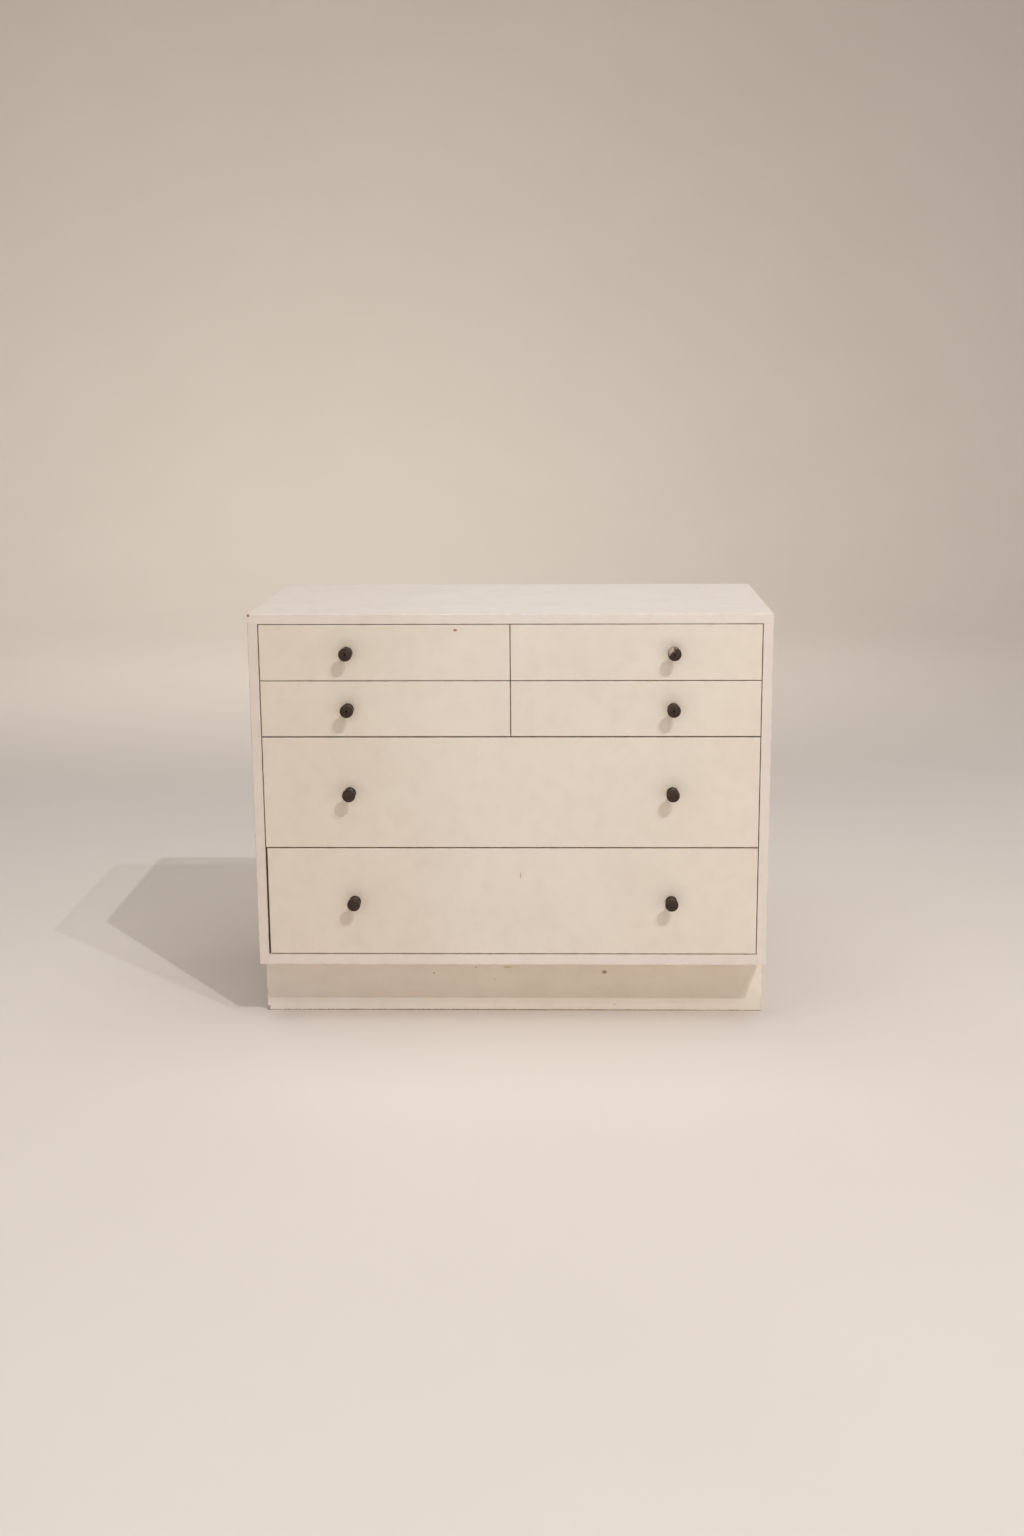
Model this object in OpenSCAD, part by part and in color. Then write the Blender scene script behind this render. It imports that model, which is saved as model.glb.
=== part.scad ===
// Painted chest of drawers: four small drawers over two wide ones, on a recessed plinth.
// Millimetres. X runs across the chest, -Y towards the person who opens it, and Z up. The origin
// is on the floor, midway across and midway between the knob faces and the back of the case.
// The fronts are inset flush with the case and hide the web frames that the drawers run on.

/* [Case] */
// Overall width across the two sides
case_w = 914; // [820:1:1100]
// Overall height from the floor to the top
case_h = 745; // [700:1:840]
// Depth from the front edges to the back of the case
case_d = 465; // [420:1:560]
// Thickness of each side
side_t = 17.5; // [15:0.5:24]
// Thickness of the top, which lies over the sides
top_t = 17; // [15:0.5:24]
// Thickness of the bottom board, which lies between the sides
bottom_t = 19; // [15:0.5:24]
// Length of the tongues that tie the top and the bottom to the sides
tongue_l = 6; // [4:0.5:9]
// Thickness of those tongues
tongue_t = 6; // [4:0.5:8]
// Distance behind the front edges at which hidden tongues and grooves stop
stop_back = 14; // [10:1:40]
// Radius of the eased outer edges
edge_r = 1.2; // [0.5:0.1:3]

/* [Back panel] */
// Thickness of the back panel
back_t = 6; // [4:0.5:9]
// Width of the rabbet that the back panel lies in
rabbet_w = 9; // [7:0.5:12]
// Screws in the upper and in the lower edge of the back panel, an even number clear of the middle
back_screws_across = 6; // [2:2:10]

/* [Plinth] */
// Height of the plinth
plinth_h = 110; // [70:1:130]
// Distance from the front of the case back to the plinth
plinth_recess = 64; // [30:1:100]
// Thickness of the plinth boards
plinth_t = 18; // [15:0.5:24]
// Distance from the back of the case forward to the plinth
plinth_back_gap = 20; // [5:1:50]
// Leg of the glue blocks in the corners of the plinth
block_leg = 42; // [25:1:60]
// Distance of the glue blocks above the floor
block_lift = 8; // [2:1:20]

/* [Web frames and partitions] */
// Thickness of the rails and runners
rail_t = 20; // [16:0.5:28]
// Width of the front rails
front_rail_w = 62; // [45:1:90]
// Width of the rear rails
rear_rail_w = 50; // [40:1:90]
// Width of the side runners, beyond their housing in the side
side_runner_w = 44; // [30:1:70]
// Width of the centre runners below the small drawers
centre_runner_w = 96; // [70:1:140]
// Depth of the housings in the sides
housing_d = 6; // [4:0.5:9]
// Thickness of the tongues of the runners
web_tongue_t = 7; // [5:0.5:9]
// Length of the tongues of the runners
web_tongue_l = 10; // [6:0.5:16]
// Thickness of the partitions between the small drawers
partition_t = 18; // [15:0.5:26]
// Depth of the trenches that hold the partitions
trench_d = 3; // [2:0.5:5]

/* [Drawer fronts] */
// Gap at the ends of the fronts, and round the small ones
gap = 1.4; // [1.2:0.1:4]
// Gap above each of the wide fronts
wide_gap = 2.2; // [1.2:0.1:4]
// Height of the four small fronts
small_front_h = 98; // [85:0.5:110]
// Height of the upper wide front
third_front_h = 199; // [160:1:215]
// Thickness of the fronts
front_t = 18; // [16:0.5:24]
// What has been planed off the left end of the bottom front
bottom_trim = 2; // [0:0.5:4]
// Clearance between a front and the rails that stop it
stop_gap = 0.5; // [0.3:0.1:1.5]

/* [Drawer boxes] */
// Thickness of the drawer sides
box_side_t = 11; // [9:0.5:14]
// Thickness of the drawer backs
box_back_t = 11; // [9:0.5:14]
// Thickness of the drawer bottoms
box_bottom_t = 5; // [3:0.5:7]
// Height of the bottom groove above the lower edge of the sides
groove_up = 10; // [8:0.5:12]
// Depth of the grooves and housings inside the boxes
groove_d = 5; // [3:0.5:7]
// Length of the dovetails, so that a thin lap is left in front of them
tail_l = 11; // [8:0.5:13]
// Spacing of the dovetails up the side
tail_pitch = 37; // [30:1:45]
// Width of a pin at its narrow end, between two tails
pin_w = 8; // [5:0.5:11]
// Slope of the dovetails, as run for one of rise
tail_slope = 7; // [6:0.5:9]
// Clearance below the drawer sides, so that they slide
run_gap = 0.3; // [0.2:0.1:0.8]
// Clearance above the drawer sides
head_gap = 2; // [1:0.5:4]
// Clearance between a small drawer and the partition
guide_gap = 1.5; // [0.8:0.1:3]
// Distance from the back panel to the rear ends of the drawer sides
rear_gap = 12; // [6:1:25]
// Distance from the rear ends of the sides to the drawer back
back_inset = 10; // [6:1:20]
// How far the drawer backs stay below the top edges of the sides
back_drop = 6; // [0:1:15]
// Width of the muntin below the bottom of a wide drawer
muntin_w = 50; // [35:1:70]

/* [Knobs] */
// Distance of the knobs from the middle of the case
knob_x = 285; // [230:1:300]
// How far the bottom drawer's left knob sits nearer the middle
bottom_knob_shift = 4; // [0:1:8]
// Length of a knob in front of the drawer
knob_l = 27; // [22:0.5:34]
// Diameter of the head
knob_head_d = 23.5; // [18:0.5:27]
// Diameter of the waist
knob_waist_d = 10.5; // [7:0.5:13]
// Diameter of the foot against the drawer front
knob_foot_d = 21; // [14:0.5:24]
// Thickness of the head's straight rim
knob_rim = 4; // [2:0.5:6]
// Height of the dome of the head's face
knob_dome = 1.2; // [0.6:0.1:2.5]
// Diameter of the knob's threaded stud
stud_d = 4; // [3:0.5:5]
// Length of the stud inside the front
stud_l = 13; // [9:0.5:14]

/* [Fits] */
// Clearance of glued joints and other close fits
fit = 0.1; // [0.05:0.01:0.2]
// Diameter of the back panel's screw heads
screw_head_d = 7; // [5:0.5:8]
// Diameter of the screw shanks
screw_d = 3.5; // [3:0.1:4.2]
// Length of the screws
screw_l = 16; // [12:1:20]

/* [Hidden] */
$fn = 48;

// Places along Y and Z that the pieces share.
front_y = (knob_l - case_d) / 2;
back_y = front_y + case_d;
panel_y = back_y - back_t;
front_back_y = front_y + front_t;
rail_y = front_back_y + stop_gap;
rear_rail_y = panel_y - rear_rail_w;
lap_t = front_t - tail_l;
partition_y = front_y + lap_t + stop_gap;
box_rear_y = panel_y - rear_gap;
inner_x = case_w / 2 - side_t;
inner_top = case_h - top_t;
floor_top = plinth_h + bottom_t;
plinth_y = front_y + plinth_recess;
plinth_rear_y = back_y - plinth_back_gap;

// Rows, from the top down. The bottom front takes the height that the others leave.
fronts_h = inner_top - floor_top - 3 * gap - 2 * wide_gap;
bottom_front_h = fronts_h - 2 * small_front_h - third_front_h;
row_h = [small_front_h, small_front_h, third_front_h, bottom_front_h];
rows = [0:len(row_h) - 1];
last_row = len(row_h) - 1;

// A web frame lies below each row but the last, and a partition stands in each row of small ones.
web_names = ["upper", "middle", "lower"];
web_rows = [0:len(web_names) - 1];
partition_names = ["upper", "lower"];
partition_rows = [0:len(partition_names) - 1];

function gap_above(row) = row < len(partition_names) ? gap : wide_gap;
function row_top(row) = (row == 0 ? inner_top : row_top(row - 1) - row_h[row - 1]) - gap_above(row);
function row_base(row) = row_top(row) - row_h[row];
function web_z(row) = row_base(row) - gap_above(row + 1) / 2;
function bay_floor(row) = row == last_row ? floor_top : web_z(row) + rail_t / 2;
function bay_head(row) = row == 0 ? inner_top : web_z(row - 1) - rail_t / 2;

// Drawers: name, row, and side of the case, which is -1 left, 1 right and 0 for a full width.
row_names = ["top", "second", "third", "bottom"];
drawers = [
    for (r = rows) for (hand = r < len(partition_names) ? [-1, 1] : [0])
        [str(row_names[r], hand < 0 ? "_left" : hand > 0 ? "_right" : ""), r, hand]
];
ids = [0:len(drawers) - 1];
wide_drawers = [for (d = ids) if (bank(d) == 0) d];

function name(d) = drawers[d][0];
function row(d) = drawers[d][1];
function bank(d) = drawers[d][2];
function is_bottom(d) = row(d) == last_row;

// The front's two ends, and the outer faces of the box behind it.
function front_x0(d) = bank(d) == 1 ? gap / 2 : -inner_x + gap + (is_bottom(d) ? bottom_trim : 0);
function front_x1(d) = bank(d) == -1 ? -gap / 2 : inner_x - gap;
function box_x0(d) = bank(d) == 1 ? partition_t / 2 + guide_gap : front_x0(d);
function box_x1(d) = bank(d) == -1 ? -partition_t / 2 - guide_gap : front_x1(d);
function box_z0(d) = bay_floor(row(d)) + run_gap;
function box_z1(d) = bay_head(row(d)) - head_gap;
function box_h(d) = box_z1(d) - box_z0(d);
function bottom_z(d) = box_z0(d) + groove_up;
function knob_xs(d) = bank(d) == 0
    ? [-knob_x + (is_bottom(d) ? bottom_knob_shift : 0), knob_x]
    : [bank(d) * knob_x];
function knob_z(d) = row_base(row(d)) + row_h[row(d)] / 2;

// Dovetails up a drawer side.
function tails(d) = max(2, round(box_h(d) / tail_pitch));
function tail_z(d, i) = box_z0(d) + (i + 0.5) * box_h(d) / tails(d);
function tail_half(d) = (box_h(d) / tails(d) - pin_w) / 2;

// ---- shared shapes -------------------------------------------------------------------------

// A box from its lowest corner to its highest.
module block(low, high) {
    translate(low) cube(high - low);
}

// The same box with its four edges at the low Y face rounded to radius r.
module eased_front(low, high, r) {
    size = high - low;
    translate(low) intersection() {
        linear_extrude(size.z) polygon(eased(size.x, size.y, r));
        rotate([90, 0, 90]) linear_extrude(size.x) polygon([for (p = eased(size.z, size.y, r)) [p.y, p.x]]);
    }
}

// A w by d rectangle whose two corners on the w side at 0 are rounded.
function eased(w, d, r) = concat(
    [for (a = [180:30:270]) [r + r * cos(a), r + r * sin(a)]],
    [for (a = [270:30:360]) [w - r + r * cos(a), r + r * sin(a)]],
    [[w, d], [0, d]]
);

// A profile in the YZ plane, extruded t along X from x.
module across(x, t) {
    translate([x, 0, 0]) rotate([90, 0, 90]) linear_extrude(t) children();
}

// ---- case ----------------------------------------------------------------------------------

// A tongue on the upper end of a side, or its groove in the top when grow is given.
module side_tongue(hand, grow = 0) {
    middle = hand * (case_w - side_t) / 2;
    half = tongue_t / 2 + grow;
    block([middle - half, front_y + stop_back - grow, inner_top - tongue_l],
          [middle + half, panel_y - stop_back + grow, inner_top + tongue_l + grow]);
}

// The tongues on the ends of the bottom board, or their grooves in the sides.
module bottom_tongues(grow = 0) {
    middle = plinth_h + bottom_t / 2;
    reach = inner_x + tongue_l + grow;
    block([-reach, front_y + stop_back - grow, middle - tongue_t / 2 - grow],
          [reach, panel_y - stop_back + grow, middle + tongue_t / 2 + grow]);
}

// The back panel's blank, or the rabbets that it lies in when grow is given.
module back_blank(grow = 0) {
    reach = inner_x + rabbet_w - fit + grow;
    block([-reach, panel_y, plinth_h - (grow > 0 ? 1 : 0)],
          [reach, back_y + (grow > 0 ? 1 : 0), inner_top + rabbet_w - fit + grow]);
}

module top_panel() {
    w = case_w;
    color("#e4d8cb") difference() {
        intersection() {
            // Eased along the front edge, and along both ends.
            translate([0, front_y, inner_top]) across(-w / 2, w) polygon(eased_corner(case_d, top_t));
            translate([0, back_y, inner_top]) rotate([90, 0, 0]) linear_extrude(case_d)
                polygon(concat([for (p = eased_corner(w / 2, top_t)) [p.x - w / 2, p.y]],
                               [for (p = reversed(eased_corner(w / 2, top_t))) [w / 2 - p.x, p.y]]));
        }
        for (hand = [-1, 1]) side_tongue(hand, fit);
        back_blank(fit);
        partition(0, fit);
        back_screws(fit);
    }
}

// A w by d rectangle whose corner at 0, 0 is rounded.
function eased_end(w, d) = concat(
    [for (a = [180:30:270]) [edge_r + edge_r * cos(a), edge_r + edge_r * sin(a)]],
    [[w, 0], [w, d], [0, d]]
);

// A board's section of length l and height h, with its upper corner at 0 rounded.
function eased_corner(l, h) = concat(
    [[l, 0], [0, 0]],
    [for (a = [180:-30:90]) [edge_r + edge_r * cos(a), h - edge_r + edge_r * sin(a)]],
    [[l, h]]
);
function reversed(points) = [for (i = [len(points) - 1:-1:0]) points[i]];

// hand is -1 for the left side and 1 for the right one.
module case_side(hand) {
    color("#e2d3c6") difference() {
        union() {
            translate([0, 0, plinth_h]) linear_extrude(inner_top - plinth_h)
                polygon([for (p = eased_end(side_t, case_d)) [hand * (case_w / 2 - p.x), front_y + p.y]]);
            side_tongue(hand);
        }
        bottom_tongues(fit);
        back_blank(fit);
        for (r = web_rows) web_housing(r);
        back_screws(fit);
    }
}

module bottom_panel() {
    color("#e2d3c6") difference() {
        union() {
            block([-inner_x, front_y, plinth_h], [inner_x, panel_y, floor_top]);
            bottom_tongues();
        }
        back_screws(fit);
    }
}

module back_panel() {
    color("#d9c4a0") difference() {
        back_blank();
        back_screws(fit);
    }
}

// A countersunk wood screw along -Y, with its head flush at the origin.
module screw(grow = 0) {
    head_r = screw_head_d / 2;
    shank_r = screw_d / 2;
    rotate([90, 0, 0]) rotate_extrude() polygon([
        [0, grow > 0 ? -1 : 0], [head_r + grow, grow > 0 ? -1 : 0], [head_r + grow, 0.4],
        [shank_r + grow, 0.4 + head_r - shank_r], [shank_r + grow, screw_l - screw_d],
        [grow, screw_l + grow], [0, screw_l + grow]
    ]);
}

// Screws round the back panel: up each side one in the middle of every bay, clear of the rails.
module back_screws(grow = 0) {
    side_x = inner_x + rabbet_w / 2;
    low = plinth_h + bottom_t / 2;
    high = inner_top + rabbet_w / 2;
    across_x = 2 * side_x / (back_screws_across + 1);
    color("#b9b4a8") translate([0, back_y, 0]) {
        for (hand = [-1, 1], r = rows)
            translate([hand * side_x, 0, (bay_floor(r) + bay_head(r)) / 2]) screw(grow);
        for (z = [low, high], i = [1:back_screws_across])
            translate([i * across_x - side_x, 0, z]) screw(grow);
    }
}

// ---- web frames and partitions -------------------------------------------------------------

// The housing in both sides that the frame below a row slides into from behind.
module web_housing(r) {
    reach = inner_x + housing_d;
    block([-reach, rail_y - fit, web_z(r) - rail_t / 2 - fit],
          [reach, panel_y + fit, web_z(r) + rail_t / 2 + fit]);
}

// A rail from housing to housing, grooved along the edge that faces the runners.
module rail(r, y, w, groove_y) {
    reach = inner_x + housing_d - fit;
    color("#cfae7d") difference() {
        block([-reach, y, web_z(r) - rail_t / 2], [reach, y + w, web_z(r) + rail_t / 2]);
        block([-reach - 1, groove_y, web_z(r) - web_tongue_t / 2 - fit],
              [reach + 1, groove_y + web_tongue_l, web_z(r) + web_tongue_t / 2 + fit]);
        for (p = partition_rows) partition(p, fit);
    }
}

module web_front_rail(r) {
    rail(r, rail_y, front_rail_w, rail_y + front_rail_w - web_tongue_l);
}

module web_rear_rail(r) {
    rail(r, rear_rail_y, rear_rail_w, rear_rail_y);
}

// A runner from x0 to x1 between the rails, with a tongue on each end.
module runner(r, x0, x1) {
    y0 = rail_y + front_rail_w;
    tongue = web_tongue_l - fit;
    block([x0, y0, web_z(r) - rail_t / 2], [x1, rear_rail_y, web_z(r) + rail_t / 2]);
    block([x0, y0 - tongue, web_z(r) - web_tongue_t / 2],
          [x1, rear_rail_y + tongue, web_z(r) + web_tongue_t / 2]);
}

// Two side runners, and a centre one where two small drawers share the frame.
module web_runners(r) {
    outer = inner_x + housing_d - fit;
    color("#c9a673") difference() {
        union() {
            runner(r, -outer, -inner_x + side_runner_w);
            runner(r, inner_x - side_runner_w, outer);
            if (r < len(partition_names)) runner(r, -centre_runner_w / 2, centre_runner_w / 2);
        }
        for (p = partition_rows) partition(p, fit);
    }
}

// The upright board between the small drawers of a row. Its front edge stands in the rebates of
// the two fronts, and its upper and lower edges stand in trenches.
module partition(r, grow = 0) {
    sink = trench_d - fit + grow;
    block([-partition_t / 2 - grow, partition_y - grow, bay_floor(r) - sink],
          [partition_t / 2 + grow, panel_y + grow, bay_head(r) + sink]);
}

// ---- plinth --------------------------------------------------------------------------------

module plinth_front() {
    color("#e0cfb6") eased_front([-case_w / 2, plinth_y, 0],
                                 [case_w / 2, plinth_y + plinth_t, plinth_h], edge_r);
}

module plinth_rear() {
    reach = case_w / 2 - plinth_t;
    color("#d8c7ae") block([-reach, plinth_rear_y - plinth_t, 0], [reach, plinth_rear_y, plinth_h]);
}

module plinth_return(hand) {
    x = hand * (case_w - plinth_t) / 2;
    color("#e0cfb6") block([x - plinth_t / 2, plinth_y + plinth_t, 0],
                           [x + plinth_t / 2, plinth_rear_y, plinth_h]);
}

// Three-cornered blocks glued into the corners and up against the bottom board.
module plinth_blocks() {
    x = case_w / 2 - plinth_t;
    color("#cfae7d") translate([0, 0, block_lift]) linear_extrude(plinth_h - block_lift)
        for (hand = [-1, 1], end = [[plinth_y + plinth_t, 1], [plinth_rear_y - plinth_t, -1]])
            translate([hand * x, end[0]])
                polygon([[0, 0], [-hand * block_leg, 0], [0, end[1] * block_leg]]);
}

// ---- drawers -------------------------------------------------------------------------------

// The dovetails of one drawer side, t long from x, or their sockets in the front when grow is
// given. They run 1 mm on behind the front, into the side.
module dovetails(d, x, t, grow = 0) {
    half = tail_half(d) + grow;
    root = half - tail_l / tail_slope;
    tip = front_back_y - tail_l + fit - grow;
    for (i = [0:tails(d) - 1]) translate([0, 0, tail_z(d, i)]) across(x, t) polygon([
        [tip, -half], [front_back_y, -root], [front_back_y + 1, -root],
        [front_back_y + 1, root], [front_back_y, root], [tip, half]
    ]);
}

// The lower X of the drawer side on one hand, which is -1 left and 1 right.
function side_x(d, hand) = hand < 0 ? box_x0(d) : box_x1(d) - box_side_t;

module drawer_side(d, hand) {
    inner = hand < 0 ? box_x0(d) + box_side_t - groove_d : box_x1(d) - box_side_t - 1;
    color("#dcc197") difference() {
        union() {
            dovetails(d, side_x(d, hand), box_side_t);
            block([side_x(d, hand), front_back_y, box_z0(d)],
                  [side_x(d, hand) + box_side_t, box_rear_y, box_z1(d)]);
        }
        // Groove for the bottom, and housing for the back.
        block([inner, front_y, bottom_z(d) - fit],
              [inner + groove_d + 1, box_rear_y + 1, bottom_z(d) + box_bottom_t + fit]);
        block([inner, box_rear_y - back_inset - box_back_t - fit, bottom_z(d)],
              [inner + groove_d + 1, box_rear_y - back_inset + fit, box_z1(d) + 1]);
    }
}

module drawer_front(d) {
    color("#e3d5bf") difference() {
        eased_front([front_x0(d), front_y, row_base(row(d))],
                    [front_x1(d), front_back_y, row_top(row(d))], edge_r);
        for (hand = [-1, 1])
            dovetails(d, side_x(d, hand) - (hand < 0 ? 1 : fit), box_side_t + 1 + fit, fit);
        block([box_x0(d) + box_side_t - groove_d, front_back_y - groove_d, bottom_z(d) - fit],
              [box_x1(d) - box_side_t + groove_d, front_back_y + 1, bottom_z(d) + box_bottom_t + fit]);
        if (bank(d) != 0) lap_rebate(d);
        for (x = knob_xs(d)) translate([x, front_y + stud_l + 1, knob_z(d)])
            rotate([90, 0, 0]) cylinder(d = stud_d + 2 * fit, h = stud_l + 2);
    }
}

// The rebate behind the inner end of a small front, where the partition comes forward.
module lap_rebate(d) {
    inner = partition_t / 2 + guide_gap;
    block([bank(d) < 0 ? -inner : 0, front_back_y - tail_l, row_base(row(d)) - 1],
          [bank(d) < 0 ? 0 : inner, front_back_y + 1, row_top(row(d)) + 1]);
}

module drawer_back(d) {
    x = box_side_t - groove_d + fit;
    y = box_rear_y - back_inset;
    color("#dcc197") block([box_x0(d) + x, y - box_back_t, bottom_z(d) + box_bottom_t],
                           [box_x1(d) - x, y, box_z1(d) - back_drop]);
}

// The bottom slides in from behind, below the back.
module drawer_bottom(d) {
    x = box_side_t - groove_d + fit;
    color("#e2cfa8") block([box_x0(d) + x, front_back_y - groove_d + fit, bottom_z(d)],
                           [box_x1(d) - x, box_rear_y - back_inset, bottom_z(d) + box_bottom_t]);
}

// The bar that carries the middle of a wide bottom, from the front to under the back.
module drawer_muntin(d) {
    middle = (box_x0(d) + box_x1(d)) / 2;
    color("#cfae7d") block([middle - muntin_w / 2, front_back_y, box_z0(d) + 1],
                           [middle + muntin_w / 2, box_rear_y - back_inset, bottom_z(d)]);
}

// Outline of a turned knob as [radius, distance from the front]: a foot, a hollow waist whose two
// quarter ellipses meet at its narrowest, and a head with a straight rim and a shallow dome.
head_z = knob_l - knob_dome - knob_rim;
waist_z = 0.42 * head_z;
foot_z = 1.5;
function ease(from, to, share) = from + (to - from) * share;
knob_outline = concat(
    [[0, 0], [knob_foot_d / 2 - 0.4, 0], [knob_foot_d / 2, 0.5], [knob_foot_d / 2, foot_z]],
    [for (a = [10:10:90]) [ease(knob_foot_d, knob_waist_d, sin(a)) / 2, ease(waist_z, foot_z, cos(a))]],
    [for (a = [80:-10:10]) [ease(knob_head_d, knob_waist_d, sin(a)) / 2, ease(waist_z, head_z, cos(a))]],
    [[knob_head_d / 2, head_z], [knob_head_d / 2, head_z + knob_rim - 0.6]],
    [for (a = [12:-2:0]) [knob_head_d / 2 * sin(a * 5.8) / sin(69.6),
                          knob_l - knob_dome * (1 - (cos(a * 5.8) - cos(69.6)) / (1 - cos(69.6)))]]
);

module knob() {
    rotate([90, 0, 0]) {
        rotate_extrude($fn = 64) polygon(knob_outline);
        translate([0, 0, -stud_l]) cylinder(d = stud_d, h = stud_l + 1);
    }
}

module drawer_knobs(d) {
    color("#4a3a2a") for (x = knob_xs(d)) translate([x, front_y, knob_z(d)]) knob();
}

// ---- nodes ---------------------------------------------------------------------------------

top_panel();
case_side(-1);  // left_side
case_side(1);  // right_side
bottom_panel();
back_panel();
back_screws();
for (r = web_rows) {
    web_front_rail(r);
    web_rear_rail(r);
    web_runners(r);
}
for (r = partition_rows)
    color("#cfae7d") partition(r);
plinth_front();
plinth_rear();
plinth_return(-1);  // plinth_left
plinth_return(1);  // plinth_right
plinth_blocks();
for (d = ids) {
    drawer_front(d);
    drawer_side(d, -1);
    drawer_side(d, 1);
    drawer_back(d);
    drawer_bottom(d);
    drawer_knobs(d);
}
for (d = wide_drawers)
    drawer_muntin(d);
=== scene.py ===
"""A painted chest of drawers on a pale studio floor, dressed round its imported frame."""

from __future__ import annotations

import logging
import math
from dataclasses import dataclass, field
from enum import Enum

import bpy
from mathutils import Matrix, Vector

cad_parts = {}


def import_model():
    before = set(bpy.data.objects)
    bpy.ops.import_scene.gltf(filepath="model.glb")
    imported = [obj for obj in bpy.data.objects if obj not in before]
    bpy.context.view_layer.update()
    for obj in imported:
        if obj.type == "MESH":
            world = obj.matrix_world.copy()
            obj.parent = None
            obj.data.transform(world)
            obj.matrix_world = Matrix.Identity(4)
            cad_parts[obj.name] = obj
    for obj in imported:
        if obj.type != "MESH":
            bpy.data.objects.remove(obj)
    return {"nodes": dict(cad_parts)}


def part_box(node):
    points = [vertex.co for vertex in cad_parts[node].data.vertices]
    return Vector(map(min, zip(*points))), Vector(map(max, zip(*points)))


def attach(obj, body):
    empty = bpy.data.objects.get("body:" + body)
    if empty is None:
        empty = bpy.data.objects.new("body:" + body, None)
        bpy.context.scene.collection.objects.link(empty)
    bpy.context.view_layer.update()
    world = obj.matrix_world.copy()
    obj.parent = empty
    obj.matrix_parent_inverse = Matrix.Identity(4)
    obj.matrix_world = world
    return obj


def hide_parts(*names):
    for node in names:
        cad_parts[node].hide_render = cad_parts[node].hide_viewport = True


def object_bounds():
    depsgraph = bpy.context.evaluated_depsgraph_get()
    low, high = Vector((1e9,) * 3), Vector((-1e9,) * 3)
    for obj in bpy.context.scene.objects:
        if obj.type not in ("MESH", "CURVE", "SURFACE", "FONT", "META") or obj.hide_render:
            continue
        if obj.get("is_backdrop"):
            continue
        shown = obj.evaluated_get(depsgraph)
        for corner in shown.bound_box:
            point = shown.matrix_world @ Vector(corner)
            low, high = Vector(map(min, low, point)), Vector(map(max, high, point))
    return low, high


MM = 0.001
LOG = logging.getLogger("chest")
Socket = bpy.types.NodeSocket
NODES: dict[str, bpy.types.Object] = {}


class Axis(Enum):
    """A row axis, used for the grain of a board and for the way that a face looks."""

    ACROSS = 0
    DEEP = 1
    UP = 2


@dataclass(frozen=True)
class Box:
    """The lowest and the highest corner of a piece, in metres."""

    low: Vector
    high: Vector

    @classmethod
    def of(cls, node: str) -> Box:
        """The box of a CAD node."""
        return cls(*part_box(node))

    @property
    def centre(self) -> Vector:
        """The middle of the box."""
        return (self.low + self.high) / 2

    @property
    def size(self) -> Vector:
        """The box's length along each axis."""
        return self.high - self.low


def linear(colour: str) -> tuple[float, float, float, float]:
    """Turns an sRGB hex colour to linear light.

    Args:
        colour: Six hex digits after a hash sign.

    Returns:
        Linear red, green, blue and an alpha of one.
    """
    parts = [int(colour[i : i + 2], 16) / 255 for i in (1, 3, 5)]
    r, g, b = (c / 12.92 if c <= 0.04045 else ((c + 0.055) / 1.055) ** 2.4 for c in parts)
    return r, g, b, 1.0


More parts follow.
